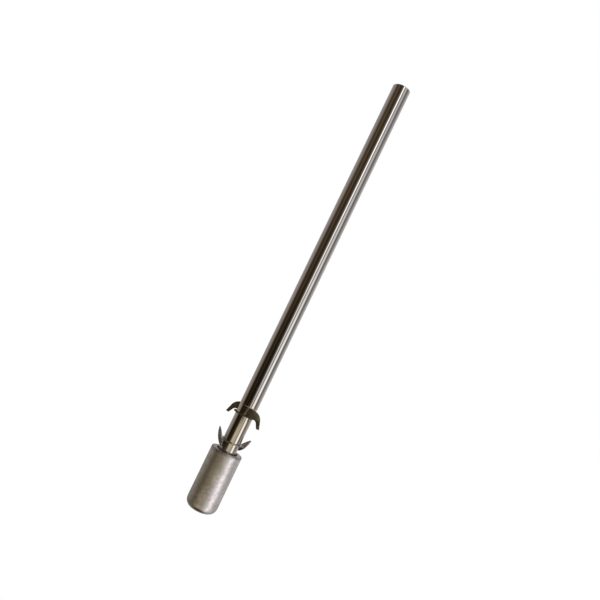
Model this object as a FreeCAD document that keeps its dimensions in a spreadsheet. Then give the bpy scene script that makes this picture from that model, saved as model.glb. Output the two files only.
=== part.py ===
import FreeCAD, Part
import os
import re
import Sketcher

# Drill paint mixer. A straight polished rod is held in a drill chuck. Near its lower end it
# carries two small stamped impellers, and below them a foot that turns freely on two bushes.
# Millimetres, +Z up along the rod, origin on the axis at the foot's underside.

doc = FreeCAD.newDocument("drill_paint_mixer")

# ---------------------------------------------------------------- driving dimensions
SIZES = {
    # shaft
    "total_length": 298.0,
    "rod_radius": 6.0,
    "seat_radius": 5.83,
    "journal_radius": 4.0,
    "rod_chamfer": 0.4,
    "ball_pocket_radius": 2.6,
    # foot
    "foot_length": 39.5,
    "foot_radius": 10.25,
    "foot_top_round": 0.8,
    "foot_base_round": 5.0,
    "bore_radius": 7.0,
    "mouth_chamfer": 0.25,
    "floor_thickness": 7.0,
    # bearing and sealing pieces inside the foot
    "running_gap": 0.04,
    "end_gap": 0.3,
    "seal_recess": 0.3,
    "seal_thickness": 2.0,
    "seal_lip_gap": 0.05,
    "seal_lip_width": 0.35,
    "seal_dish": 0.5,
    "upper_bush_length": 11.0,
    "lower_bush_length": 8.0,
    "bush_chamfer": 0.4,
    "pad_thickness": 1.5,
    "pad_radius": 6.9,
    "ball_radius": 2.5,
    "ball_gap": 0.05,
    "clip_thickness": 0.8,
    "clip_radius": 5.0,
    "clip_groove_radius": 3.8,
    "clip_mouth": 2.2,
    "lug_offset": 1.9,
    "lug_reach": 5.0,
    "lug_radius": 1.0,
    "lug_hole_radius": 0.45,
    # impellers
    "lower_hub_level": 46.1,
    "upper_hub_level": 64.0,
    "plate_thickness": 0.6,
    "hub_radius": 7.35,
    "arm_distance": 7.1,
    "arm_start": 1.0,
    # upper impeller's arms
    "horn_lean": 12.0,
    "horn_web_end": 5.6,
    "root_height": 5.2,
    "shoulder_start_x": 5.6,
    "shoulder_start_up": 5.1,
    "shoulder_end_x": 10.6,
    "shoulder_end_up": 0.3,
    "shoulder_radius": 6.3,
    "tip_outer_x": 12.1,
    "tip_outer_up": -4.2,
    "tip_inner_x": 10.1,
    "tip_inner_up": -4.4,
    "throat_end_x": 8.8,
    "throat_end_up": -2.0,
    "throat_radius": 3.0,
    # lower impeller's arms
    "leaf_lean": 12.0,
    "leaf_web_end": 4.8,
    "heel_x": -1.0,
    "heel_start_up": 1.75,
    "heel_end_up": 4.3,
    "belly_x": 1.0,
    "belly_up": 3.7,
    "belly_radius": 9.0,
    "leaf_tip_x": 6.4,
    "leaf_tip_up": -6.1,
    "leaf_back_radius": 25.0,
    # how far each impeller is turned
    "upper_turn": 0.0,
    "lower_turn": 127.0,
}

sheet = doc.addObject("Spreadsheet::Sheet", "Sizes")
for row, (alias, number) in enumerate(SIZES.items(), start=1):
    sheet.set("A%d" % row, alias)
    sheet.set("B%d" % row, str(number))
    sheet.setAlias("B%d" % row, alias)
doc.recompute()


# ---------------------------------------------------------------- helpers
def bound(formula):
    """A formula in the sheet's names, as an expression that other objects can be bound to."""
    return re.sub(r"\b([a-z]\w*)\b(?!\()", r"Sizes.\1", formula)


def number_of(formula):
    """What a formula in the sheet's names comes to now."""
    return float(sheet.evalExpression(bound(formula)))


def place_of(across, along):
    return FreeCAD.Vector(number_of(across), number_of(along), 0)


def new_body(name, level="0", turn="0", flipped=False):
    """An empty body, raised to a level and turned about the axis."""
    body = doc.addObject("PartDesign::Body", name)
    body.Label = name
    over = FreeCAD.Rotation(FreeCAD.Vector(1, 0, 0), 180 if flipped else 0)
    turned = FreeCAD.Rotation(FreeCAD.Vector(0, 0, 1), number_of(turn))
    body.Placement = FreeCAD.Placement(FreeCAD.Vector(0, 0, number_of(level)), turned * over)
    body.setExpression("Placement.Base.z", bound(level))
    return body


def new_sketch(body, name, role, offset="0"):
    """A sketch on one of the body's own origin planes, moved along the plane's normal."""
    plane = [feature for feature in body.Origin.OriginFeatures if feature.Role == role][0]
    sketch = body.newObject("Sketcher::SketchObject", name)
    sketch.AttachmentSupport = [(plane, "")]
    sketch.MapMode = "FlatFace"
    shift = FreeCAD.Vector(0, 0, number_of(offset))
    sketch.AttachmentOffset = FreeCAD.Placement(shift, FreeCAD.Rotation())
    sketch.setExpression("AttachmentOffset.Base.z", bound(offset))
    return sketch


def hold(sketch, constraint, formula):
    """Adds a dimension and binds it to a formula."""
    number = sketch.addConstraint(constraint)
    sketch.setExpression("Constraints[%d]" % number, bound(formula))


def hold_point(sketch, edge, end, across, along):
    """Holds one end of an edge at a place given by two formulas."""
    for kind, axis, formula in (("DistanceX", -2, across), ("DistanceY", -1, along)):
        if formula == "0":
            sketch.addConstraint(Sketcher.Constraint("PointOnObject", edge, end, axis))
        else:
            size = number_of(formula)
            hold(sketch, Sketcher.Constraint(kind, -1, 1, edge, end, size), formula)


def arc_between(start, finish, radius, side):
    """The short arc of a radius from one place to another; side 1 bulges left of the way, -1 right."""
    chord = finish - start
    left = FreeCAD.Vector(-chord.y, chord.x, 0).normalize()
    rise = radius - (radius ** 2 - (chord.Length / 2) ** 2) ** 0.5
    return Part.Arc(start, (start + finish) * 0.5 + left * side * rise, finish)


def draw_outline(sketch, corners, arcs=None):
    """A closed outline. Corners are pairs of formulas, and arcs says which sides are bent:
    the side that leaves corner number n has a radius formula and a bulging side."""
    arcs = arcs or {}
    places = [place_of(across, along) for across, along in corners]
    sides = []
    for index, place in enumerate(places):
        following = places[(index + 1) % len(places)]
        if index in arcs:
            radius, side = arcs[index]
            edge = sketch.addGeometry(arc_between(place, following, number_of(radius), side), False)
        else:
            edge = sketch.addGeometry(Part.LineSegment(place, following), False)
        starts_here = sketch.getPoint(edge, 1).distanceToPoint(place) < 0.001
        sides.append((edge, 1, 2) if starts_here else (edge, 2, 1))
    for index, (edge, start, _) in enumerate(sides):
        before, _, finish = sides[index - 1]
        sketch.addConstraint(Sketcher.Constraint("Coincident", before, finish, edge, start))
        hold_point(sketch, edge, start, *corners[index])
    for index, (radius, _) in arcs.items():
        hold(sketch, Sketcher.Constraint("Radius", sides[index][0], number_of(radius)), radius)


def draw_circle(sketch, radius, across="0", along="0"):
    circle = Part.Circle(place_of(across, along), FreeCAD.Vector(0, 0, 1), number_of(radius))
    edge = sketch.addGeometry(circle, False)
    hold_point(sketch, edge, 3, across, along)
    hold(sketch, Sketcher.Constraint("Radius", edge, number_of(radius)), radius)


def pad(body, sketch, name, length):
    feature = body.newObject("PartDesign::Pad", name)
    feature.Profile = sketch
    feature.Length = number_of(length)
    feature.setExpression("Length", bound(length))
    body.Tip = feature
    return feature


def cut_through(body, sketch, name):
    """A pocket through everything on both sides of its sketch; it has to take something away."""
    doc.recompute()
    before = body.Shape.Volume
    feature = body.newObject("PartDesign::Pocket", name)
    feature.Profile = sketch
    feature.Type = "ThroughAll"
    feature.Midplane = True
    body.Tip = feature
    doc.recompute()
    if body.Shape.Volume > before - 0.01:
        raise ValueError(name + " cuts nothing")


def turn_profile(body, corners):
    """A solid of revolution about Z from a closed half section of (radius, height) formulas."""
    sketch = new_sketch(body, body.Name + "_section", "XZ_Plane")
    draw_outline(sketch, corners)
    feature = body.newObject("PartDesign::Revolution", body.Name + "_turned")
    feature.Profile = sketch
    feature.ReferenceAxis = (sketch, ["V_Axis"])
    feature.Angle = 360
    body.Tip = feature
    return feature


def dress_circle(body, kind, size, radius, height):
    """Rounds or chamfers the circle about Z that has this radius and height."""
    doc.recompute()
    base = body.Tip
    names = []
    for number, edge in enumerate(base.Shape.Edges, start=1):
        if edge.Curve.TypeId == "Part::GeomCircle":
            off = abs(edge.Curve.Radius - number_of(radius)) + abs(edge.Curve.Center.z - number_of(height))
            if off < 0.01:
                names.append("Edge%d" % number)
    feature = body.newObject("PartDesign::" + kind, body.Name + "_" + kind.lower())
    feature.Base = (base, names)
    length = "Radius" if kind == "Fillet" else "Size"
    setattr(feature, length, number_of(size))
    feature.setExpression(length, bound(size))
    body.Tip = feature


# ---------------------------------------------------------------- levels inside the foot
PAD_TOP = "floor_thickness + pad_thickness"
BALL_CENTRE = PAD_TOP + " + ball_gap + ball_radius"
JOURNAL_END = BALL_CENTRE + " - end_gap"
SEAL_BASE = "foot_length - seal_recess - seal_thickness"
UPPER_BUSH_BASE = SEAL_BASE + " - end_gap - upper_bush_length"
CLIP_TOP = UPPER_BUSH_BASE + " - end_gap"
SHOULDER = SEAL_BASE


# ---------------------------------------------------------------- shaft
def make_shaft():
    """One turned rod: journal in the foot, impeller seats a little under full size, then shank."""
    body = new_body("shaft")
    pocket_top = BALL_CENTRE + " + ball_radius + ball_gap"
    clip_base = CLIP_TOP + " - clip_thickness"
    seat_top = "upper_hub_level + plate_thickness + root_height + end_gap"
    turn_profile(body, [
        ("0", pocket_top),
        ("ball_pocket_radius", pocket_top),
        ("ball_pocket_radius", JOURNAL_END),
        ("journal_radius", JOURNAL_END),
        ("journal_radius", clip_base),
        ("clip_groove_radius", clip_base),
        ("clip_groove_radius", CLIP_TOP),
        ("journal_radius", CLIP_TOP),
        ("journal_radius", SHOULDER),
        ("seat_radius", SHOULDER),
        ("seat_radius", seat_top),
        ("rod_radius", seat_top),
        ("rod_radius", "total_length"),
        ("0", "total_length"),
    ])
    dress_circle(body, "Chamfer", "rod_chamfer", "rod_radius", "total_length")
    return body


# ---------------------------------------------------------------- impellers
# Arm outlines lie in the arm's own plane: along the plate's edge, and up from its top face.
HORN = [
    ("arm_start", "root_height"),
    ("shoulder_start_x", "shoulder_start_up"),
    ("shoulder_end_x", "shoulder_end_up"),
    ("tip_outer_x", "tip_outer_up"),
    ("tip_inner_x", "tip_inner_up"),
    ("throat_end_x", "throat_end_up"),
    ("horn_web_end", "0"),
    ("arm_start", "0"),
]
HORN_ARCS = {1: ("shoulder_radius", 1), 5: ("throat_radius", -1)}
LEAF = [
    ("heel_x", "heel_start_up"),
    ("heel_x", "heel_end_up"),
    ("belly_x", "belly_up"),
    ("leaf_tip_x", "leaf_tip_up"),
]
LEAF_ARCS = {2: ("belly_radius", 1), 3: ("leaf_back_radius", 1)}


def make_impeller(name, level, turn, flipped, kind, outline, arcs):
    """A washer pressed from sheet, with two arms of one kind folded up beside the rod."""
    lean = kind + "_lean"
    web_end = kind + "_web_end"
    body = new_body(name, level, turn, flipped)
    disc_outline = new_sketch(body, name + "_disc_outline", "XY_Plane")
    draw_circle(disc_outline, "hub_radius")
    pad(body, disc_outline, name + "_disc", "plate_thickness")

    web_outline = new_sketch(body, name + "_web_outline", "XY_Plane")
    draw_outline(web_outline, [("arm_start", "-arm_distance"),
                               (web_end, "-arm_distance"),
                               (web_end, "-seat_radius / 2"),
                               ("arm_start", "-seat_radius / 2")])
    web = pad(body, web_outline, name + "_web", "plate_thickness")

    fold_outline = new_sketch(body, name + "_fold_outline", "YZ_Plane", "arm_start")
    fold_y = "-arm_distance - plate_thickness * cos(%s)" % lean
    fold_z = "plate_thickness + plate_thickness * sin(%s)" % lean
    draw_outline(fold_outline, [("-arm_distance", "plate_thickness"),
                                (fold_y, fold_z),
                                ("-arm_distance", "0")], {1: ("plate_thickness", -1)})
    fold = pad(body, fold_outline, name + "_fold", web_end + " - arm_start")

    arm_outline = new_sketch(body, name + "_arm_outline", "XZ_Plane", "arm_distance")
    tilt = FreeCAD.Rotation(FreeCAD.Vector(-1, 0, 0), number_of(lean))
    corner = FreeCAD.Vector(0, number_of("plate_thickness"), number_of("arm_distance"))
    arm_outline.AttachmentOffset = FreeCAD.Placement(corner, tilt)
    arm_outline.setExpression("AttachmentOffset.Base.y", bound("plate_thickness"))
    draw_outline(arm_outline, outline, arcs)
    arm = pad(body, arm_outline, name + "_arm", "plate_thickness")

    pair = body.newObject("PartDesign::PolarPattern", name + "_pair")
    pair.Originals = [web, fold, arm]
    pair.Axis = (disc_outline, ["N_Axis"])
    pair.Angle = 360
    pair.Occurrences = 2
    body.Tip = pair

    hole_outline = new_sketch(body, name + "_hole_outline", "XY_Plane")
    draw_circle(hole_outline, "seat_radius")
    cut_through(body, hole_outline, name + "_hole")
    return body


# ---------------------------------------------------------------- foot
def make_foot_cup():
    """A blind cup with rounded ends that hides the bearing."""
    body = new_body("foot_cup")
    turn_profile(body, [
        ("0", "0"),
        ("foot_radius", "0"),
        ("foot_radius", "foot_length"),
        ("bore_radius", "foot_length"),
        ("bore_radius", "floor_thickness"),
        ("0", "floor_thickness"),
    ])
    dress_circle(body, "Fillet", "foot_base_round", "foot_radius", "0")
    dress_circle(body, "Fillet", "foot_top_round", "foot_radius", "foot_length")
    dress_circle(body, "Chamfer", "mouth_chamfer", "bore_radius", "foot_length")
    return body


def make_bush(name, level, length):
    """A plain bearing sleeve, eased at both ends of its bore."""
    body = new_body(name, level)
    running = "journal_radius + running_gap"
    turn_profile(body, [
        (running + " + bush_chamfer", "0"),
        ("bore_radius", "0"),
        ("bore_radius", length),
        (running + " + bush_chamfer", length),
        (running, length + " - bush_chamfer"),
        (running, "bush_chamfer"),
    ])
    return body


def make_shaft_seal():
    """A rubber ring in the foot's mouth, dished between its rim and its lip on the rod."""
    body = new_body("shaft_seal", SEAL_BASE)
    lip = "seat_radius + seal_lip_gap"
    turn_profile(body, [
        (lip, "seal_thickness - seal_dish"),
        (lip, "seal_thickness"),
        (lip + " + seal_lip_width", "seal_thickness - seal_dish"),
        ("bore_radius - seal_lip_width", "seal_thickness - seal_dish"),
        ("bore_radius - seal_lip_width", "seal_thickness"),
        ("bore_radius", "seal_thickness"),
        ("bore_radius", "0"),
        (lip + " + seal_lip_width", "0"),
    ])
    return body


def make_retaining_ring():
    """An open ring sprung into the journal's groove, with two eyes for the pliers."""
    body = new_body("retaining_ring", CLIP_TOP + " - clip_thickness")
    ring_outline = new_sketch(body, "ring_outline", "XY_Plane")
    draw_circle(ring_outline, "clip_radius")
    draw_circle(ring_outline, "clip_groove_radius")
    pad(body, ring_outline, "ring", "clip_thickness")
    for side in ("", "-"):
        lug_outline = new_sketch(body, "lug_outline", "XY_Plane")
        draw_circle(lug_outline, "lug_radius", side + "lug_offset", "-lug_reach")
        pad(body, lug_outline, "lug", "clip_thickness")
    mouth_outline = new_sketch(body, "mouth_outline", "XY_Plane")
    draw_outline(mouth_outline, [("-clip_mouth / 2", "-2 * clip_radius"),
                                 ("clip_mouth / 2", "-2 * clip_radius"),
                                 ("clip_mouth / 2", "0"),
                                 ("-clip_mouth / 2", "0")])
    cut_through(body, mouth_outline, "mouth")
    for side in ("", "-"):
        eye_outline = new_sketch(body, "eye_outline", "XY_Plane")
        draw_circle(eye_outline, "lug_hole_radius", side + "lug_offset", "-lug_reach")
        cut_through(body, eye_outline, "eye")
    return body


def make_thrust_pad():
    """A hardened disc on the cup's floor."""
    body = new_body("thrust_pad", "floor_thickness")
    pad_outline = new_sketch(body, "pad_outline", "XY_Plane")
    draw_circle(pad_outline, "pad_radius")
    pad(body, pad_outline, "disc", "pad_thickness")
    dress_circle(body, "Chamfer", "mouth_chamfer", "pad_radius", "pad_thickness")
    return body


def make_thrust_ball():
    """A hardened ball in the rod's end, which stands on the disc."""
    ball = doc.addObject("Part::Sphere", "thrust_ball")
    ball.Label = "thrust_ball"
    ball.setExpression("Radius", bound("ball_radius"))
    ball.setExpression("Placement.Base.z", bound(BALL_CENTRE))
    return ball


# ---------------------------------------------------------------- the whole mixer
pieces = [
    make_shaft(),
    make_impeller("upper_impeller", "upper_hub_level", "upper_turn", False, "horn", HORN, HORN_ARCS),
    make_impeller("lower_impeller", "lower_hub_level", "lower_turn", True, "leaf", LEAF, LEAF_ARCS),
    make_retaining_ring(),
    make_thrust_ball(),
    make_foot_cup(),
    make_shaft_seal(),
    make_bush("upper_bush", UPPER_BUSH_BASE, "upper_bush_length"),
    make_bush("lower_bush", BALL_CENTRE, "lower_bush_length"),
    make_thrust_pad(),
]
doc.recompute()

for item in doc.Objects:
    if "Invalid" in item.State or "Error" in item.State:
        raise ValueError("%s is in state %s" % (item.Name, item.State))

os.makedirs("parts", exist_ok=True)
for piece in pieces:
    if piece.Shape.isNull() or not piece.Shape.isValid():
        raise ValueError(piece.Label + " has no valid shape")
    piece.Shape.exportStep(os.path.join("parts", piece.Label + ".step"))
    box = piece.Shape.BoundBox
    print("%-16s %9.1f mm3, solids %d, z %.2f to %.2f, across %.2f and %.2f" % (
        piece.Label, piece.Shape.Volume, len(piece.Shape.Solids), box.ZMin, box.ZMax,
        box.XLength, box.YLength))
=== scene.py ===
# %% [markdown]
# # A drill paint mixer
# The real tool is a plain steel rod for a drill chuck. Two small stamped impellers sit near its
# lower end, and below them a satin steel foot turns freely on bushes that can't be seen.
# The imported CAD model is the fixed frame. This script gives its pieces their finished surfaces
# and their finishes, and sets up a small studio to look at them in.

# %% Load the frame
import bmesh
import bpy
import math
from mathutils import Matrix, Vector


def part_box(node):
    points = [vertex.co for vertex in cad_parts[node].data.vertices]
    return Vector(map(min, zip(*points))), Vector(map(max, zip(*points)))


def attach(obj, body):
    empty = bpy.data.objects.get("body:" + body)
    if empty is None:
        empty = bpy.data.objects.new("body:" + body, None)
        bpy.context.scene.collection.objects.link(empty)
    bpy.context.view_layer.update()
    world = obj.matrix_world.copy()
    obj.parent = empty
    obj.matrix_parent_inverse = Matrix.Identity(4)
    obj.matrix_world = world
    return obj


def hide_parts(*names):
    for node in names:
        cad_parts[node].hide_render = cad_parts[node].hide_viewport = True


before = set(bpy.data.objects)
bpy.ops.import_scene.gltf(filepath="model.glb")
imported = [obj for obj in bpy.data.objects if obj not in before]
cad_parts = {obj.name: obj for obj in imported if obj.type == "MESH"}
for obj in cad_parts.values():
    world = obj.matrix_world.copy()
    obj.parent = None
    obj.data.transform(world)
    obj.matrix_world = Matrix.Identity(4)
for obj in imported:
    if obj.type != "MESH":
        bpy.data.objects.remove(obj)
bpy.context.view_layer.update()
MM = 0.001

# %% [markdown]
# ## Levels
# The rod's axis is the Z axis, so a level and a radius are all that a turned piece needs. They
# could all be typed in, but then they would be wrong as soon as the frame changed. So the ends
# of the pieces and the two outer radii are read from the frame. What its boxes can't say, such
# as a groove or a bore, is typed in where the piece is made.

# %% Levels from the frame
shaft_low, shaft_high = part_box("shaft")
foot_low, foot_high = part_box("foot_cup")
seal_low, seal_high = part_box("shaft_seal")
clip_low, clip_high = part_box("retaining_ring")
ball_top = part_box("thrust_ball")[1].z
upper_impeller_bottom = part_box("upper_impeller")[0].z
lower_impeller_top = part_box("lower_impeller")[1].z
rod_radius = shaft_high.x
foot_radius = foot_high.x
print("rod radius %.2f mm, foot radius %.2f mm" % (rod_radius / MM, foot_radius / MM))

# %% [markdown]
# ## The camera
# The camera is 0.38 m from the tool and about 30 mm below its middle, so the rod's top end is
# seen a little from below and the foot a little from above. The tool should lean to the right
# in this view. It could be tilted, but it has to stay where the frame has it, so the camera is
# rolled instead.

# %% Camera
CAMERA_DISTANCE = 0.382
CAMERA_TILT = math.radians(4.0)
CAMERA_ROLL = math.radians(25.74)
AIM = Vector((0.00005, 0.0, 0.14424))
SENSOR_WIDTH = 36.0
FOCAL_LENGTH = 36.0
NEAREST_SEEN = 0.01


def make_camera():
    ahead = Vector((0.0, math.cos(CAMERA_TILT), math.sin(CAMERA_TILT)))
    level_right = Vector((1.0, 0.0, 0.0))
    level_up = level_right.cross(ahead)
    right = level_right * math.cos(CAMERA_ROLL) + level_up * math.sin(CAMERA_ROLL)
    up = right.cross(ahead)
    place = AIM - ahead * CAMERA_DISTANCE
    data = bpy.data.cameras.new("camera")
    data.sensor_width = SENSOR_WIDTH
    data.lens = FOCAL_LENGTH
    data.clip_start = NEAREST_SEEN
    camera = bpy.data.objects.new("camera", data)
    bpy.context.scene.collection.objects.link(camera)
    turned = Matrix((right, up, -ahead)).transposed()
    camera.matrix_world = Matrix.Translation(place) @ turned.to_4x4()
    bpy.context.scene.camera = camera


make_camera()
camera_place = bpy.context.scene.camera.matrix_world.translation
print("camera placed at", [round(value, 4) for value in camera_place])

# %% [markdown]
# ## Node helpers
# A material here is a small graph of nodes. It could be joined up by hand in the editor, but a
# script can be read and run again. These four helpers make a node, do sums, fade between two
# values and mix two colours, so each finish below reads as a short list.

# %% Node helpers
# Which sockets a Mix node uses for colours; it has others for numbers and vectors.
MIX_SHARE, MIX_FIRST, MIX_SECOND = 0, 6, 7
MIX_RESULT = 2


def add_node(tree, kind, **settings):
    """A new node of a kind, with its settings."""
    node = tree.nodes.new(kind)
    for name, value in settings.items():
        setattr(node, name, value)
    return node


def math_node(tree, operation, first, second=None, third=None, clamp=False):
    """A Math node; each input is a number or another node's output."""
    node = add_node(tree, "ShaderNodeMath", operation=operation, use_clamp=clamp)
    for socket, value in zip(node.inputs, (first, second, third)):
        if isinstance(value, bpy.types.NodeSocket):
            tree.links.new(value, socket)
        elif value is not None:
            socket.default_value = value
    return node.outputs[0]


def smooth_step(tree, value, start, stop):
    """0 before start, 1 after stop and a smooth rise between; stop may be less than start."""
    node = add_node(tree, "ShaderNodeMapRange", interpolation_type="SMOOTHSTEP")
    tree.links.new(value, node.inputs["Value"])
    if start <= stop:
        node.inputs["From Min"].default_value = start
        node.inputs["From Max"].default_value = stop
    else:
        node.inputs["From Min"].default_value = stop
        node.inputs["From Max"].default_value = start
        node.inputs["To Min"].default_value = 1.0
        node.inputs["To Max"].default_value = 0.0
    return node.outputs["Result"]


def mix_colour(tree, share, first, second, blend="MIX"):
    """Two colours mixed; the share is 0 for the first and 1 for the second."""
    node = add_node(tree, "ShaderNodeMix", data_type="RGBA", blend_type=blend)
    for index, value in ((MIX_SHARE, share), (MIX_FIRST, first), (MIX_SECOND, second)):
        socket = node.inputs[index]
        if isinstance(value, bpy.types.NodeSocket):
            tree.links.new(value, socket)
        elif isinstance(value, tuple):
            socket.default_value = (*value, 1.0)
        else:
            socket.default_value = value
    return node.outputs[MIX_RESULT]


print("node helpers: add_node, math_node, smooth_step, mix_colour")

# %% [markdown]
# ## The studio
# A polished rod has next to no colour of its own: what shows is the room, squeezed into
# stripes. A point on the rod's side mirrors the room at twice its own angle round the rod. So
# the room is described by azimuth, 0 towards the viewer and positive to the right: a dark warm
# room behind the viewer, a pale wall with one slim window behind the tool, and two tall
# windows on the right. The nearer window is brightest high up, and the farther one lower down.
# Low down there is a warm bench in front, and below it a table top that is brightest on the
# right, which gives the satin foot its broad highlight. A large soft lamp hangs high on the
# right. The viewer looks past the tool straight at plain white.

# %% Room and table colours round the horizon
# Each line is an azimuth in degrees and the colour there. The lines near -180 and 180 are the
# slim window behind the tool, in its dark frame.
ROOM = [
    (-180, (1.00, 0.97, 0.95)),
    (-176, (1.00, 0.97, 0.95)),
    (-172, (0.14, 0.12, 0.10)),
    (-166, (0.16, 0.14, 0.12)),
    (-161, (0.56, 0.52, 0.50)),
    (-150, (0.50, 0.46, 0.44)),
    (-120, (0.40, 0.36, 0.34)),
    (-97, (0.39, 0.34, 0.31)),
    (-84, (0.24, 0.20, 0.17)),
    (-70, (0.08, 0.058, 0.036)),
    (-58, (0.050, 0.033, 0.018)),
    (-38, (0.115, 0.085, 0.053)),
    (-27, (0.055, 0.038, 0.021)),
    (-10, (0.040, 0.027, 0.016)),
    (2, (0.075, 0.058, 0.045)),
    (12, (0.22, 0.20, 0.18)),
    (80, (0.19, 0.18, 0.18)),
    (90, (0.24, 0.23, 0.23)),
    (102, (0.36, 0.35, 0.35)),
    (124, (0.56, 0.54, 0.54)),
    (150, (0.72, 0.70, 0.71)),
    (160, (0.72, 0.70, 0.71)),
    (165, (0.15, 0.13, 0.12)),
    (171, (0.12, 0.10, 0.09)),
    (175, (1.00, 0.97, 0.95)),
    (180, (1.00, 0.97, 0.95)),
]

# The same for the table top below the tool, in the directions that point down to it.
TABLE = [
    (-180, (0.30, 0.29, 0.26)),
    (-120, (0.20, 0.19, 0.16)),
    (-66, (0.115, 0.09, 0.055)),
    (-28, (0.43, 0.36, 0.25)),
    (0, (0.36, 0.32, 0.24)),
    (30, (0.52, 0.48, 0.46)),
    (45, (1.05, 0.98, 1.02)),
    (58, (1.86, 1.78, 1.92)),
    (72, (1.20, 1.12, 1.18)),
    (95, (0.60, 0.56, 0.59)),
    (120, (0.50, 0.47, 0.49)),
    (180, (0.30, 0.29, 0.26)),
]
print("room of %d colours, table of %d" % (len(ROOM), len(TABLE)))

# %% [markdown]
# ## The world
# The room could be modelled, with walls, windows and lamps. It is drawn in the world's nodes
# instead: it is only mirrored in the tool and lights it, so a colour for each direction is
# enough. A direction is taken apart into an azimuth and a height, which is -1 straight down,
# 0 level and 1 straight up. A window is a soft band of azimuth, and a table's edge is a soft
# step in height.

# %% Parts of the room
# Where each is: its middle, half width and softness, in degrees of azimuth.
DARK_SIDE = (-34, 42, 10)
NEAR_WINDOW = (25, 6, 4)
FAR_WINDOW = (56, 13, 6)
BENCH = (3, 17, 12)
SOFT_BOX = (62, 30, 12)

# The heights between which the room brightens, and those between which each part sets in.
ROOM_BRIGHTENS = (-0.25, 0.42)
BENCH_EDGE = (-0.138, -0.158)
TABLE_EDGE = (-0.19, -0.24)
SHADE_EDGE = (-0.84, -0.97)
SOFT_BOX_EDGE = (0.50, 0.60)

# The light low down, and what is added to it high up.
DARK_SIDE_LIGHT = (0.18, 1.15)
NEAR_WINDOW_LIGHT = (0.42, 1.45)
FAR_WINDOW_LIGHT = (1.35, -0.85)
SOFT_BOX_LIGHT = 1.2

WHITE = (1.0, 1.0, 1.0)
BENCH_COLOUR = (0.76, 0.68, 0.49)
SHADE_COLOUR = (0.05, 0.043, 0.035)
print("windows at azimuth %d and %d" % (NEAR_WINDOW[0], FAR_WINDOW[0]))


# %% Sectors of the room and light by height
def sector(tree, azimuth, place):
    """1 inside a part of the room and 0 outside it."""
    middle, half_width, softness = place
    off = math_node(tree, "ABSOLUTE", math_node(tree, "SUBTRACT", azimuth, middle))
    return smooth_step(tree, off, half_width + softness, half_width - softness)


def light_at(tree, rising, light):
    """Light that changes with height."""
    low, added = light
    return math_node(tree, "MULTIPLY_ADD", rising, added, low)


def horizon(tree, azimuth, colours):
    """A band of colours right round the room."""
    ramp = add_node(tree, "ShaderNodeValToRGB")
    tree.links.new(math_node(tree, "MULTIPLY_ADD", azimuth, 1 / 360, 0.5), ramp.inputs[0])
    elements = ramp.color_ramp.elements
    while len(elements) < len(colours):
        elements.new(0.5)
    for element, (degrees, colour) in zip(elements, colours):
        element.position = (degrees + 180) / 360
        element.color = (*colour, 1.0)
    return ramp.outputs[0]


def split_direction(tree):
    """The azimuth of a direction, in degrees, and its height."""
    direction = add_node(tree, "ShaderNodeTexCoord").outputs["Generated"]
    parts = add_node(tree, "ShaderNodeSeparateXYZ")
    tree.links.new(direction, parts.inputs[0])
    towards = math_node(tree, "MULTIPLY", parts.outputs["Y"], -1.0)
    azimuth = math_node(tree, "ARCTAN2", parts.outputs["X"], towards)
    return math_node(tree, "DEGREES", azimuth), parts.outputs["Z"]


print("world helpers: sector, light_at, horizon, split_direction")


# %% The room's layers
def make_walls(tree, azimuth, height):
    """The walls, and the two windows added to them."""
    rising = smooth_step(tree, height, *ROOM_BRIGHTENS)
    shade = light_at(tree, rising, DARK_SIDE_LIGHT)
    shade = mix_colour(tree, sector(tree, azimuth, DARK_SIDE), WHITE, shade)
    walls = mix_colour(tree, 1.0, horizon(tree, azimuth, ROOM), shade, "MULTIPLY")
    near = math_node(tree, "MULTIPLY", sector(tree, azimuth, NEAR_WINDOW),
                     light_at(tree, rising, NEAR_WINDOW_LIGHT))
    far = math_node(tree, "MULTIPLY", sector(tree, azimuth, FAR_WINDOW),
                    light_at(tree, rising, FAR_WINDOW_LIGHT))
    return mix_colour(tree, 1.0, walls, math_node(tree, "ADD", near, far), "ADD")


def add_low_parts(tree, azimuth, height, lit):
    """The bench, the table top under it and the tool's own shade straight below."""
    bench = smooth_step(tree, height, *BENCH_EDGE)
    bench = math_node(tree, "MULTIPLY", sector(tree, azimuth, BENCH), bench)
    lit = mix_colour(tree, bench, lit, BENCH_COLOUR)
    table = horizon(tree, azimuth, TABLE)
    lit = mix_colour(tree, smooth_step(tree, height, *TABLE_EDGE), lit, table)
    return mix_colour(tree, smooth_step(tree, height, *SHADE_EDGE), lit, SHADE_COLOUR)


def add_soft_box(tree, azimuth, height, lit):
    """A large soft lamp high on the right."""
    box = smooth_step(tree, height, *SOFT_BOX_EDGE)
    box = math_node(tree, "MULTIPLY", sector(tree, azimuth, SOFT_BOX), box)
    return mix_colour(tree, 1.0, lit, math_node(tree, "MULTIPLY", box, SOFT_BOX_LIGHT), "ADD")


print("layers: make_walls, add_low_parts, add_soft_box")


# %% World
def make_world():
    world = bpy.data.worlds.new("studio")
    bpy.context.scene.world = world
    world.use_nodes = True
    tree = world.node_tree
    tree.nodes.clear()
    azimuth, height = split_direction(tree)
    room = make_walls(tree, azimuth, height)
    room = add_low_parts(tree, azimuth, height, room)
    room = add_soft_box(tree, azimuth, height, room)
    seen = add_node(tree, "ShaderNodeLightPath").outputs["Is Camera Ray"]
    background = add_node(tree, "ShaderNodeBackground")
    tree.links.new(mix_colour(tree, seen, room, WHITE), background.inputs["Color"])
    output = add_node(tree, "ShaderNodeOutputWorld")
    tree.links.new(background.outputs[0], output.inputs[0])


make_world()
# This view keeps white as white, where the usual one would turn it a little grey.
bpy.context.scene.view_settings.view_transform = "Standard"
print("studio lit by %s, %d nodes" % (bpy.context.scene.world.name,
                                      len(bpy.context.scene.world.node_tree.nodes)))

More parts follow.
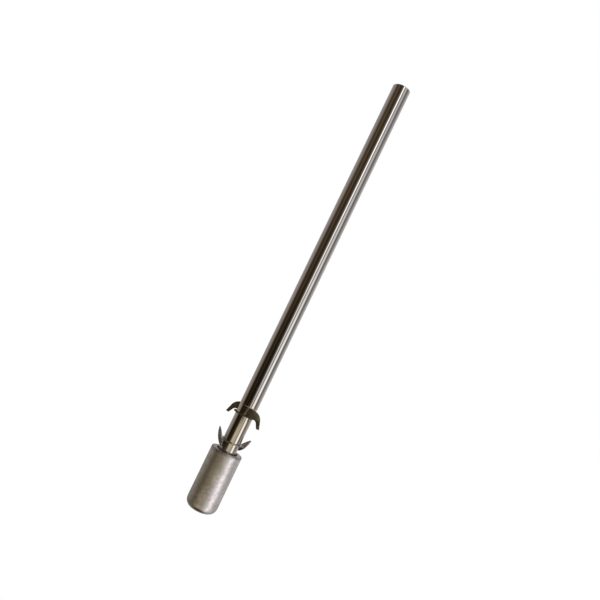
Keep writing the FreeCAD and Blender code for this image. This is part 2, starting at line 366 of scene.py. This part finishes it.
# %% [markdown]
# ## The floor
# The tool hangs from a chuck, so the pale floor is well below the foot. A floor that is only
# painted pale would look darker than the white behind it, and its far edge would show as a
# line. So this one is nearly black and glows evenly instead. It isn't mirrored, or the tool
# would show the floor where the room has its bench and table.

# %% Floor
FLOOR_LEVEL = -0.35
FLOOR_HALF_WIDTH = 20.0
FLOOR_COLOUR = (0.02, 0.02, 0.02, 1)
FLOOR_GLOW = 0.99


def make_floor():
    mesh = bpy.data.meshes.new("floor")
    shape = bmesh.new()
    bmesh.ops.create_grid(shape, x_segments=1, y_segments=1, size=FLOOR_HALF_WIDTH)
    bmesh.ops.translate(shape, verts=shape.verts, vec=(0, 0, FLOOR_LEVEL))
    shape.to_mesh(mesh)
    shape.free()
    floor = bpy.data.objects.new("floor", mesh)
    bpy.context.scene.collection.objects.link(floor)
    floor.visible_glossy = False
    material = bpy.data.materials.new("pale_floor")
    material.use_nodes = True
    shader = material.node_tree.nodes["Principled BSDF"]
    shader.inputs["Base Color"].default_value = FLOOR_COLOUR
    shader.inputs["Roughness"].default_value = 1.0
    shader.inputs["Emission Color"].default_value = (*WHITE, 1)
    shader.inputs["Emission Strength"].default_value = FLOOR_GLOW
    mesh.materials.append(material)


make_floor()

# %% [markdown]
# ## Shared surface effects
# Real steel is never one even colour. Six small node groups supply what varies: broad
# mottling, lines along the rod, rings from the lathe, rings on a faced end, pits, and soft
# bands at a level. The nodes could be repeated in each finish, but a group is built once and
# placed in each with its own values, so all pieces age in the same way.


# %% A group and its sockets
def new_group(name, inputs, outputs):
    """An empty node group, with its two end nodes."""
    group = bpy.data.node_groups.new(name, "ShaderNodeTree")
    for label, value in inputs:
        socket = group.interface.new_socket(label, in_out="INPUT", socket_type="NodeSocketFloat")
        socket.default_value = value
    for label in outputs:
        group.interface.new_socket(label, in_out="OUTPUT", socket_type="NodeSocketFloat")
    return group, add_node(group, "NodeGroupInput"), add_node(group, "NodeGroupOutput")


def stretched_place(tree, scale=(1, 1, 1)):
    """The place on the piece, in metres, stretched along each axis."""
    place = add_node(tree, "ShaderNodeTexCoord").outputs["Object"]
    mapping = add_node(tree, "ShaderNodeMapping")
    tree.links.new(place, mapping.inputs["Vector"])
    mapping.inputs["Scale"].default_value = scale
    return mapping.outputs[0]


def noise(tree, place, scale, detail=3.0):
    """Noise at a place; the scale is how many patches there are in a metre."""
    node = add_node(tree, "ShaderNodeTexNoise")
    node.inputs["Detail"].default_value = detail
    tree.links.new(place, node.inputs["Vector"])
    if isinstance(scale, bpy.types.NodeSocket):
        tree.links.new(scale, node.inputs["Scale"])
    else:
        node.inputs["Scale"].default_value = scale
    return node.outputs["Fac"]


def height_above(tree):
    """The level on the piece, in metres."""
    parts = add_node(tree, "ShaderNodeSeparateXYZ")
    tree.links.new(stretched_place(tree), parts.inputs[0])
    return parts.outputs["Z"]


print("group helpers: new_group, stretched_place, noise, height_above")

# %% [markdown]
# ## Mottling
# Handling, oil and heat leave steel cloudy. The clouds could be painted on, but noise from the
# place on the piece needs no image and has no seam. The softness says how slowly one patch
# passes into the next.


# %% Mottling
def make_mottle():
    group, given, out = new_group("mottle", [("Scale", 300.0), ("Softness", 0.12)], ["Mask"])
    patches = noise(group, stretched_place(group), given.outputs["Scale"], detail=5.0)
    lifted = math_node(group, "SUBTRACT", patches, 0.5)
    share = math_node(group, "DIVIDE", lifted, given.outputs["Softness"])
    mask = math_node(group, "MULTIPLY_ADD", share, 0.5, 0.5, clamp=True)
    group.links.new(mask, out.inputs["Mask"])
    return group


MOTTLE = make_mottle()
print("group:", MOTTLE.name)

# %% [markdown]
# ## Lines and rings
# Drawing a bar leaves lines along it, and turning leaves rings round it. Both are far too fine
# to model. The same noise makes both: when it is hardly allowed to change along one axis, its
# patches are pulled out into lines, and along two axes into rings.

# %% Lines along the rod and rings round it
# Only the noise above the first value is in the mask, and it is full at the second.
LINES_BEGIN, LINES_FULL = 0.58, 0.748


def make_lines(name, scale):
    """Noise pulled out into lines; the mask has only the strongest of them."""
    group, given, out = new_group(name, [("Scale", 3000.0)], ["Mask", "Height"])
    lines = noise(group, stretched_place(group, scale), given.outputs["Scale"], detail=2.0)
    strongest = smooth_step(group, lines, LINES_BEGIN, LINES_FULL)
    group.links.new(strongest, out.inputs["Mask"])
    group.links.new(lines, out.inputs["Height"])
    return group


DRAW_LINES = make_lines("draw_lines", (1.0, 1.0, 0.012))
LATHE_RINGS = make_lines("lathe_rings", (0.01, 0.01, 1.0))
print("groups:", DRAW_LINES.name, LATHE_RINGS.name)

# %% [markdown]
# ## Rings on a faced end
# A lathe also leaves a fine spiral on the flat end that it faces. It looks like rings of
# different radius, so here the noise runs along the distance from the axis and nothing else.

# %% Rings on a faced end
FACING_BEGIN, FACING_FULL = 0.52, 0.72


def make_facing():
    group, given, out = new_group("facing_rings", [("Scale", 3000.0)], ["Mask", "Height"])
    flat = add_node(group, "ShaderNodeVectorMath", operation="LENGTH")
    group.links.new(stretched_place(group, (1, 1, 0)), flat.inputs[0])
    rings = add_node(group, "ShaderNodeTexNoise", noise_dimensions="1D")
    rings.inputs["Detail"].default_value = 2.0
    group.links.new(flat.outputs["Value"], rings.inputs["W"])
    group.links.new(given.outputs["Scale"], rings.inputs["Scale"])
    strongest = smooth_step(group, rings.outputs["Fac"], FACING_BEGIN, FACING_FULL)
    group.links.new(strongest, out.inputs["Mask"])
    group.links.new(rings.outputs["Fac"], out.inputs["Height"])
    return group


FACING_RINGS = make_facing()
print("group:", FACING_RINGS.name)

# %% [markdown]
# ## Pits
# Blasting and pressing leave small pits and specks. Voronoi cells scatter them unevenly, as
# real ones are: each has a middle, and the size says how far from it the pit reaches. The mask
# colours a pit and the height sinks it.

# %% Pits
# Both pairs are distances from a pit's middle, as shares of its size.
PIT_RIM, PIT_DARKEST = 1.0, 0.3
PIT_BOTTOM, PIT_TOP = 0.2, 1.1


def make_pits():
    group, given, out = new_group("pits", [("Scale", 900.0), ("Size", 0.25)], ["Mask", "Height"])
    cells = add_node(group, "ShaderNodeTexVoronoi")
    group.links.new(stretched_place(group), cells.inputs["Vector"])
    group.links.new(given.outputs["Scale"], cells.inputs["Scale"])
    near = math_node(group, "DIVIDE", cells.outputs["Distance"], given.outputs["Size"])
    group.links.new(smooth_step(group, near, PIT_RIM, PIT_DARKEST), out.inputs["Mask"])
    group.links.new(smooth_step(group, near, PIT_BOTTOM, PIT_TOP), out.inputs["Height"])
    return group


PITS = make_pits()
print("group:", PITS.name)

# %% [markdown]
# ## A band at a level
# Some marks keep to one level: jaw marks at the top, painted shade on the foot's top face, a
# darker base. A band is found from the level alone, and a little noise makes its border waver,
# because a straight one would look painted on.

# %% A soft band at a level
WAVER_SCALE = 260.0


def make_band():
    """1 within the half width of a level and 0 beyond the edge, with a wavering border."""
    inputs = [("Level", 0.05), ("Half Width", 0.01), ("Edge", 0.005), ("Waver", 0.002)]
    group, given, out = new_group("level_band", inputs, ["Mask"])
    waver = math_node(group, "SUBTRACT", noise(group, stretched_place(group), WAVER_SCALE), 0.5)
    level = math_node(group, "MULTIPLY_ADD", waver, given.outputs["Waver"], height_above(group))
    off = math_node(group, "ABSOLUTE", math_node(group, "SUBTRACT", level, given.outputs["Level"]))
    beyond = math_node(group, "SUBTRACT", off, given.outputs["Half Width"])
    fade = math_node(group, "DIVIDE", beyond, given.outputs["Edge"])
    mask = math_node(group, "SUBTRACT", 1.0, fade, clamp=True)
    group.links.new(mask, out.inputs["Mask"])
    return group


LEVEL_BAND = make_band()
print("group:", LEVEL_BAND.name)

# %% [markdown]
# ## From effects to a finish
# A finish is a Principled shader whose colour, roughness and bump are fed by the effects. Each
# effect is placed once, and then it tints the colour, is added to the roughness or becomes
# relief. So a finish can be read from top to bottom, from the clean metal to the marks on it.


# %% Placing an effect in a finish
def effect(tree, group, output="Mask", **values):
    """A group placed with its own values; input names are written with underscores."""
    node = add_node(tree, "ShaderNodeGroup", node_tree=group)
    for name, value in values.items():
        node.inputs[name.replace("_", " ")].default_value = value
    return node.outputs[output]


def new_finish(name, metallic):
    """A named material, with its tree and its shader."""
    material = bpy.data.materials.new(name)
    material.use_nodes = True
    shader = material.node_tree.nodes["Principled BSDF"]
    shader.inputs["Metallic"].default_value = metallic
    return material, material.node_tree, shader


def tint(tree, colour, mask, strength, towards):
    """The colour moved towards another one where the mask is, by as much as the strength."""
    return mix_colour(tree, math_node(tree, "MULTIPLY", mask, strength), colour, towards)


def weighted_sum(tree, base, *terms):
    """A base number plus each mask times its weight."""
    total = base
    for mask, weight in terms:
        total = math_node(tree, "MULTIPLY_ADD", mask, weight, total)
    return total


def add_relief(tree, shader, height, depth, strength):
    """Bump from a height; the depth is in metres."""
    bump = add_node(tree, "ShaderNodeBump")
    bump.inputs["Distance"].default_value = depth
    bump.inputs["Strength"].default_value = strength
    tree.links.new(height, bump.inputs["Height"])
    tree.links.new(bump.outputs["Normal"], shader.inputs["Normal"])


print("finish helpers: effect, new_finish, tint, weighted_sum, add_relief")

# %% [markdown]
# ## Polished rod
# The shank is drawn and polished bar. Seen close to, it has hair lines along its length and
# faint smudges where it has been handled. A warm painted reflection is tinted in round the
# impellers, a drill's jaws have dulled the top a little, and the end face keeps its lathe rings.
# A plain mirror would do from far away, but close to it looks too clean to be steel.

# %% Polished rod finish
JAW_MARK_BELOW_END = 20 * MM


def make_polished_steel():
    material, tree, shader = new_finish("polished_steel", 1.0)
    smudges = effect(tree, MOTTLE, Scale=85.0, Softness=0.16)
    cloud = effect(tree, MOTTLE, Scale=420.0, Softness=0.20)
    hair = effect(tree, DRAW_LINES, Scale=5200.0)
    jaws = effect(tree, LEVEL_BAND, Level=shaft_high.z - JAW_MARK_BELOW_END, Half_Width=0.012,
                  Edge=0.006, Waver=0.004)
    middle = (upper_impeller_bottom + lower_impeller_top) / 2
    # Painted reflection: a warm band round the impellers, standing in for the bench mirrored there.
    painted_warm_reflection = effect(tree, LEVEL_BAND, Level=middle, Half_Width=0.012, Edge=0.022, Waver=0.006)

    colour = mix_colour(tree, smudges, (0.635, 0.615, 0.600), (0.580, 0.560, 0.540))
    colour = tint(tree, colour, cloud, 0.35, (0.560, 0.535, 0.500))
    # The painted warm reflection is tinted into the colour round the impellers.
    colour = tint(tree, colour, painted_warm_reflection, 0.55, (0.600, 0.530, 0.420))
    tree.links.new(colour, shader.inputs["Base Color"])
    end_face = effect(tree, LEVEL_BAND, Level=shaft_high.z, Half_Width=0.00004, Edge=0.00002,
                      Waver=0.0)
    faced = effect(tree, FACING_RINGS, Scale=4200.0)
    dull = weighted_sum(tree, 0.040, (smudges, 0.022), (hair, 0.030), (jaws, 0.05), (painted_warm_reflection, 0.02),
                        (math_node(tree, "MULTIPLY", end_face, faced), 0.14), (end_face, 0.10))
    tree.links.new(dull, shader.inputs["Roughness"])
    facing = math_node(tree, "MULTIPLY", end_face, effect(tree, FACING_RINGS, "Height", Scale=3000.0))
    relief = weighted_sum(tree, effect(tree, DRAW_LINES, "Height", Scale=3600.0), (facing, 5.0))
    add_relief(tree, shader, relief, depth=0.00001, strength=0.10)
    return material


POLISHED_STEEL = make_polished_steel()
print("finish:", POLISHED_STEEL.name, len(POLISHED_STEEL.node_tree.nodes), "nodes")

# %% [markdown]
# ## Satin foot
# The foot is turned, then blasted to a satin grey. Blasting leaves a fine even grain, and oil
# and use have mottled it. Its base is darker and smoother, with fine rings, and its top face
# and mouth are darkened with painted shade. The grain is bump and not shape, because it is
# finer than a hair, and the rounding itself is shape.


# %% Satin foot finish
def make_satin_steel():
    material, tree, shader = new_finish("satin_steel", 1.0)
    broad = effect(tree, MOTTLE, Scale=110.0, Softness=0.14)
    small = effect(tree, MOTTLE, Scale=520.0, Softness=0.10)
    specks = effect(tree, PITS, Scale=700.0, Size=0.20)
    # A band at the base, where the foot is made darker and smoother.
    base_band = effect(tree, LEVEL_BAND, Level=0.0, Half_Width=0.0022, Edge=0.003, Waver=0.002)
    # Painted shade: a band that darkens the foot's top face and mouth.
    painted_top_shade = effect(tree, LEVEL_BAND, Level=foot_high.z, Half_Width=0.0004, Edge=0.0016, Waver=0.0012)
    rings = effect(tree, LATHE_RINGS, Scale=2600.0)

    colour = mix_colour(tree, broad, (0.850, 0.838, 0.835), (0.720, 0.695, 0.650))
    colour = tint(tree, colour, small, 0.55, (0.520, 0.495, 0.455))
    colour = tint(tree, colour, specks, 0.35, (0.330, 0.310, 0.280))
    # The painted shade on the top face and mouth is tinted into the colour here.
    colour = tint(tree, colour, painted_top_shade, 0.75, (0.270, 0.250, 0.215))
    # Darker towards the bottom.
    colour = tint(tree, colour, base_band, 0.40, (0.520, 0.500, 0.470))
    tree.links.new(colour, shader.inputs["Base Color"])
    dull = weighted_sum(tree, 0.30, (broad, 0.05), (small, 0.07), (painted_top_shade, 0.10),
                        (base_band, -0.08), (rings, 0.03))
    tree.links.new(dull, shader.inputs["Roughness"])
    grain = noise(tree, stretched_place(tree), 2600.0, detail=4.0)
    relief = weighted_sum(tree, 0.0, (grain, 0.8),
                          (effect(tree, PITS, "Height", Scale=700.0, Size=0.20), 0.25),
                          (effect(tree, LATHE_RINGS, "Height", Scale=1500.0), 0.30))
    add_relief(tree, shader, relief, depth=0.00003, strength=0.55)
    return material


SATIN_STEEL = make_satin_steel()
print("finish:", SATIN_STEEL.name, len(SATIN_STEEL.node_tree.nodes), "nodes")

# %% [markdown]
# ## Sheet steel
# Both impellers are pressed from thin sheet. The upper one has gone dark olive brown from heat,
# patchily, and the lower one has stayed grey. One maker does both, from two colours, because
# the sheet's rolled grain, spots and handling marks are the same.


# %% Sheet steel finishes
def make_sheet_steel(name, pale, dark, stain, roughness):
    material, tree, shader = new_finish(name, 1.0)
    broad = effect(tree, MOTTLE, Scale=260.0, Softness=0.12)
    small = effect(tree, MOTTLE, Scale=1100.0, Softness=0.18)
    spots = effect(tree, PITS, Scale=1100.0, Size=0.22)
    rolled = effect(tree, DRAW_LINES, Scale=4200.0)
    colour = mix_colour(tree, broad, pale, dark)
    colour = tint(tree, colour, small, 0.45, stain)
    colour = tint(tree, colour, spots, 0.40, dark)
    tree.links.new(colour, shader.inputs["Base Color"])
    dull = weighted_sum(tree, roughness, (broad, 0.08), (small, 0.06), (rolled, -0.05))
    tree.links.new(dull, shader.inputs["Roughness"])
    grain = noise(tree, stretched_place(tree), 2400.0, detail=4.0)
    relief = weighted_sum(tree, 0.0, (grain, 0.6),
                          (effect(tree, DRAW_LINES, "Height", Scale=2600.0), 0.4))
    add_relief(tree, shader, relief, depth=0.00003, strength=0.5)
    return material


HEAT_DARK_STEEL = make_sheet_steel(
    "heat_dark_steel", (0.195, 0.182, 0.120), (0.110, 0.102, 0.060), (0.150, 0.130, 0.075), 0.40)
PRESSED_STEEL = make_sheet_steel(
    "pressed_steel", (0.470, 0.460, 0.440), (0.330, 0.320, 0.300), (0.260, 0.245, 0.215), 0.34)
print("finishes:", HEAT_DARK_STEEL.name, PRESSED_STEEL.name)

# %% [markdown]
# ## Rubber seal
# The seal in the foot's mouth is matt black, with a little pale dust caught in its dish. Rubber
# isn't a metal, so this is the one finish that is not metallic. It is never quite black: a
# full black would hide its shape.


# %% Rubber finish
def make_black_rubber():
    material, tree, shader = new_finish("black_rubber", 0.0)
    dust = effect(tree, MOTTLE, Scale=900.0, Softness=0.10)
    film = effect(tree, MOTTLE, Scale=240.0, Softness=0.14)
    dusty = math_node(tree, "MULTIPLY", dust, 0.35)
    colour = mix_colour(tree, dusty, (0.014, 0.014, 0.013), (0.060, 0.055, 0.046))
    colour = tint(tree, colour, film, 0.30, (0.030, 0.026, 0.020))
    tree.links.new(colour, shader.inputs["Base Color"])
    dull = weighted_sum(tree, 0.52, (dust, 0.20), (film, 0.08))
    tree.links.new(dull, shader.inputs["Roughness"])
    grain = noise(tree, stretched_place(tree), 4200.0)
    add_relief(tree, shader, grain, depth=0.00002, strength=0.4)
    return material


BLACK_RUBBER = make_black_rubber()
print("finish:", BLACK_RUBBER.name)

# %% [markdown]
# ## Bearing finishes
# The bearing is sealed in the foot and can't be seen unless the foot is taken off, so its
# finishes are simple, but each still has what the real metal shows: pores in the sintered
# bronze, an oily bloom on the spring clip, and lapping lines on the hardened ball and disc.
# One maker does all three, because each is a metal with one kind of mark.

# %% Bronze, spring steel and bearing steel
# How much darker the cloudy places are than the clean metal.
CLOUD_SHADE = 0.86


def make_inner_finish(name, clean, worn, roughness, marks, **values):
    """A hidden piece's finish, darker and rougher where the effect that marks it is."""
    material, tree, shader = new_finish(name, 1.0)
    marked = effect(tree, marks, **values)
    cloud = effect(tree, MOTTLE, Scale=380.0, Softness=0.16)
    colour = mix_colour(tree, cloud, clean, tuple(CLOUD_SHADE * value for value in clean))
    colour = tint(tree, colour, marked, 0.6, worn)
    tree.links.new(colour, shader.inputs["Base Color"])
    dull = weighted_sum(tree, roughness, (marked, 0.12), (cloud, 0.05))
    tree.links.new(dull, shader.inputs["Roughness"])
    unmarked = math_node(tree, "SUBTRACT", 1.0, marked)
    add_relief(tree, shader, unmarked, depth=0.00002, strength=0.4)
    return material


SINTERED_BRONZE = make_inner_finish("sintered_bronze", (0.47, 0.30, 0.14), (0.16, 0.10, 0.05),
                                    0.42, PITS, Scale=2600.0, Size=0.30)
SPRING_STEEL = make_inner_finish("spring_steel", (0.14, 0.14, 0.15), (0.07, 0.06, 0.05),
                                 0.32, MOTTLE, Scale=1200.0)
BEARING_STEEL = make_inner_finish("bearing_steel", (0.66, 0.66, 0.67), (0.45, 0.44, 0.43),
                                  0.10, LATHE_RINGS, Scale=3400.0)
print("finishes:", SINTERED_BRONZE.name, SPRING_STEEL.name, BEARING_STEEL.name)

# %% [markdown]
# ## Turned pieces
# The rod, the foot and the seal all came off a lathe. The script does what the lathe does: it
# draws half of the section and spins it once round the axis. Then a bevel rounds each turned
# corner, because no real edge is perfectly sharp, and the small round catches a thin line of
# light that a sharp edge can't. Where a long wall starts at a round, the section has one more
# point just past it, a support loop: without it the shading of the round would spread along
# the whole wall.

# %% Lathe
TURN_STEPS = 160
SUPPORT = 0.3 * MM
SAME_PLACE = 1e-7
ON_CIRCLE = 1e-6


def spun_shape(section, closed):
    """Spins a section of (radius, level) points round the axis."""
    shape = bmesh.new()
    points = [shape.verts.new((radius, 0.0, level)) for radius, level in section]
    links = list(zip(points, points[1:]))
    if closed:
        links.append((points[-1], points[0]))
    lines = [shape.edges.new(pair) for pair in links]
    bmesh.ops.spin(shape, geom=points + lines, cent=(0, 0, 0), axis=(0, 0, 1), angle=math.tau,
                   steps=TURN_STEPS, use_merge=True, use_duplicate=False)
    bmesh.ops.remove_doubles(shape, verts=shape.verts, dist=SAME_PLACE)
    bmesh.ops.recalc_face_normals(shape, faces=shape.faces)
    return shape


def round_circle(shape, radius, level, size, segments):
    """Rounds the turned corner at this radius and level."""
    def on_circle(vert):
        off = abs(math.hypot(vert.co.x, vert.co.y) - radius) + abs(vert.co.z - level)
        return off < ON_CIRCLE

    ring = [edge for edge in shape.edges if all(on_circle(vert) for vert in edge.verts)]
    bmesh.ops.bevel(shape, geom=ring, offset=size, offset_type="OFFSET", segments=segments,
                    profile=0.5, affect="EDGES", clamp_overlap=True, material=-1)


print("lathe: %d steps a turn" % TURN_STEPS)

# %% [markdown]
# ## Handing a piece over
# Every new piece takes the place of one CAD node, rides on that node's body and has its finish.
# Smooth shading suits turned and bevelled steel, but an edge that is still sharper than a bevel
# leaves is kept hard, or a dark smear would run round it.

# %% Handing a piece over
SOFT_EDGE = math.radians(32)


def finish_piece(shape, name, node, body, material):
    """Shades a shape, makes it an object and hands it to the frame in its node's stead."""
    for face in shape.faces:
        face.smooth = True
    for edge in shape.edges:
        edge.smooth = edge.calc_face_angle(0.0) < SOFT_EDGE
    mesh = bpy.data.meshes.new(name)
    shape.to_mesh(mesh)
    shape.free()
    mesh.materials.append(material)
    piece = bpy.data.objects.new(name, mesh)
    bpy.context.scene.collection.objects.link(piece)
    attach(piece, body)
    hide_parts(node)
    print("%s: %d faces" % (name, len(mesh.polygons)))


print("edges under %d degrees are smooth" % math.degrees(SOFT_EDGE))

# %% [markdown]
# ## The rod
# It runs from the free end, which is lightly chamfered for the chuck, to the journal inside the
# foot. From just above the upper impeller down it is a little thinner, so that both impellers
# slide on. The section has the groove for the clip and the pocket for the ball as well, so the
# rod is whole when the foot is taken off.

# %% The rod
SEAT_RADIUS = 5.83 * MM
JOURNAL_RADIUS = 4.0 * MM
CLIP_GROOVE_RADIUS = 3.8 * MM
BALL_POCKET_RADIUS = 2.6 * MM
SEAT_TOP = 70.1 * MM
END_CHAMFER = 0.4 * MM
BALL_CLEARANCE = 0.05 * MM
END_ROUND = 0.12 * MM
SEAT_ROUND = 0.06 * MM
JOURNAL_ROUND = 0.15 * MM


def make_rod():
    pocket_top = ball_top + BALL_CLEARANCE
    shape = spun_shape([
        (0.0, pocket_top),
        (BALL_POCKET_RADIUS, pocket_top),
        (BALL_POCKET_RADIUS, shaft_low.z),
        (JOURNAL_RADIUS, shaft_low.z),
        (JOURNAL_RADIUS, shaft_low.z + SUPPORT),
        (JOURNAL_RADIUS, clip_low.z),
        (CLIP_GROOVE_RADIUS, clip_low.z),
        (CLIP_GROOVE_RADIUS, clip_high.z),
        (JOURNAL_RADIUS, clip_high.z),
        (JOURNAL_RADIUS, seal_low.z),
        (SEAT_RADIUS, seal_low.z),
        (SEAT_RADIUS, SEAT_TOP),
        (rod_radius, SEAT_TOP),
        (rod_radius, SEAT_TOP + SUPPORT),
        (rod_radius, shaft_high.z - END_CHAMFER - SUPPORT),
        (rod_radius, shaft_high.z - END_CHAMFER),
        (rod_radius - END_CHAMFER, shaft_high.z),
        (0.0, shaft_high.z),
    ], closed=False)
    round_circle(shape, rod_radius, shaft_high.z - END_CHAMFER, END_ROUND, segments=3)
    round_circle(shape, rod_radius - END_CHAMFER, shaft_high.z, END_ROUND, segments=3)
    round_circle(shape, rod_radius, SEAT_TOP, SEAT_ROUND, segments=3)
    round_circle(shape, JOURNAL_RADIUS, shaft_low.z, JOURNAL_ROUND, segments=2)
    finish_piece(shape, "rod", "shaft", "shaft_assembly", POLISHED_STEEL)


make_rod()

# %% [markdown]
# ## The foot
# A blind cup with a generous round at its base, a small one at its top and a chamfer at its
# mouth. The base round could be drawn as many points of the section, but a bevel with many
# segments gives a true arc from one corner. The bore and floor hold the bearing, so they are
# modelled too.

# %% The foot
BORE_RADIUS = 7.0 * MM
CUP_FLOOR = 7.0 * MM
BASE_ROUND = 5.0 * MM
TOP_ROUND = 0.8 * MM
MOUTH_CHAMFER = 0.25 * MM
MOUTH_ROUND = 0.08 * MM


def make_foot():
    shape = spun_shape([
        (0.0, foot_low.z),
        (foot_radius - BASE_ROUND - SUPPORT, foot_low.z),
        (foot_radius, foot_low.z),
        (foot_radius, foot_low.z + BASE_ROUND + SUPPORT),
        (foot_radius, foot_high.z - TOP_ROUND - SUPPORT),
        (foot_radius, foot_high.z),
        (foot_radius - TOP_ROUND - SUPPORT, foot_high.z),
        (BORE_RADIUS + MOUTH_CHAMFER + SUPPORT, foot_high.z),
        (BORE_RADIUS + MOUTH_CHAMFER, foot_high.z),
        (BORE_RADIUS, foot_high.z - MOUTH_CHAMFER),
        (BORE_RADIUS, CUP_FLOOR),
        (0.0, CUP_FLOOR),
    ], closed=False)
    round_circle(shape, foot_radius, foot_low.z, BASE_ROUND, segments=14)
    round_circle(shape, foot_radius, foot_high.z, TOP_ROUND, segments=6)
    round_circle(shape, BORE_RADIUS + MOUTH_CHAMFER, foot_high.z, MOUTH_ROUND, segments=2)
    finish_piece(shape, "foot", "foot_cup", "foot_assembly", SATIN_STEEL)


make_foot()

# %% [markdown]
# ## The seal
# A dished rubber ring whose outer wall is pressed into the foot and whose lip leans on the rod.
# A flat washer would be simpler, but the dish and the lip are what catch the light round the
# rod. The section is a closed outline here, because the ring has a hole through it.

# %% The seal
LIP_RADIUS = SEAT_RADIUS + 0.05 * MM
LIP_WIDTH = 0.35 * MM
DISH_DEPTH = 0.5 * MM
WALL_ROUND = 0.08 * MM


def make_seal():
    dish = seal_high.z - DISH_DEPTH
    shape = spun_shape([
        (LIP_RADIUS, dish),
        (LIP_RADIUS, seal_high.z),
        (LIP_RADIUS + LIP_WIDTH, dish),
        (BORE_RADIUS - LIP_WIDTH, dish),
        (BORE_RADIUS - LIP_WIDTH, seal_high.z),
        (BORE_RADIUS, seal_high.z),
        (BORE_RADIUS, seal_low.z),
        (LIP_RADIUS + LIP_WIDTH, seal_low.z),
    ], closed=True)
    round_circle(shape, BORE_RADIUS - LIP_WIDTH, seal_high.z, WALL_ROUND, segments=2)
    finish_piece(shape, "seal", "shaft_seal", "foot_assembly", BLACK_RUBBER)


make_seal()

# %% [markdown]
# ## The impellers
# Their outlines are the frame's own, so each starts as a copy of its node. The copy's loose
# triangles are merged and its flat faces joined up again, and then a fine bevel gives the sheet
# the soft edges that pressing leaves. Without the joining, the leftover edges across the flat
# faces would make the bevel uneven.

# %% Impellers
MERGED_WITHIN = 1e-6
FLAT_WITHIN = math.radians(0.5)
CUT_EDGE_OVER = math.radians(40)
PRESSED_ROUND = 0.10 * MM


def make_stamping(name, node, material):
    shape = bmesh.new()
    shape.from_mesh(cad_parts[node].data)
    bmesh.ops.remove_doubles(shape, verts=shape.verts, dist=MERGED_WITHIN)
    bmesh.ops.dissolve_limit(shape, angle_limit=FLAT_WITHIN, verts=shape.verts,
                             edges=shape.edges)
    bmesh.ops.recalc_face_normals(shape, faces=shape.faces)
    sharp = [edge for edge in shape.edges if edge.calc_face_angle(0.0) > CUT_EDGE_OVER]
    bmesh.ops.bevel(shape, geom=sharp, offset=PRESSED_ROUND, offset_type="OFFSET", segments=2,
                    profile=0.5, affect="EDGES", clamp_overlap=True, material=-1)
    finish_piece(shape, name, node, "shaft_assembly", material)


make_stamping("upper_stamping", "upper_impeller", HEAT_DARK_STEEL)
make_stamping("lower_stamping", "lower_impeller", PRESSED_STEEL)

# %% [markdown]
# ## The bearing
# The ball, disc, clip and bushes are plain machine parts whose frame nodes already have their
# exact form. To model them again would gain nothing, so they are carried over, with their
# finishes.

# %% Carried-over nodes
CARRIED = {
    "thrust_ball": BEARING_STEEL,
    "thrust_pad": BEARING_STEEL,
    "retaining_ring": SPRING_STEEL,
    "upper_bush": SINTERED_BRONZE,
    "lower_bush": SINTERED_BRONZE,
}
for node, material in CARRIED.items():
    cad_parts[node].data.materials.clear()
    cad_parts[node].data.materials.append(material)
print("carried over:", ", ".join(CARRIED))
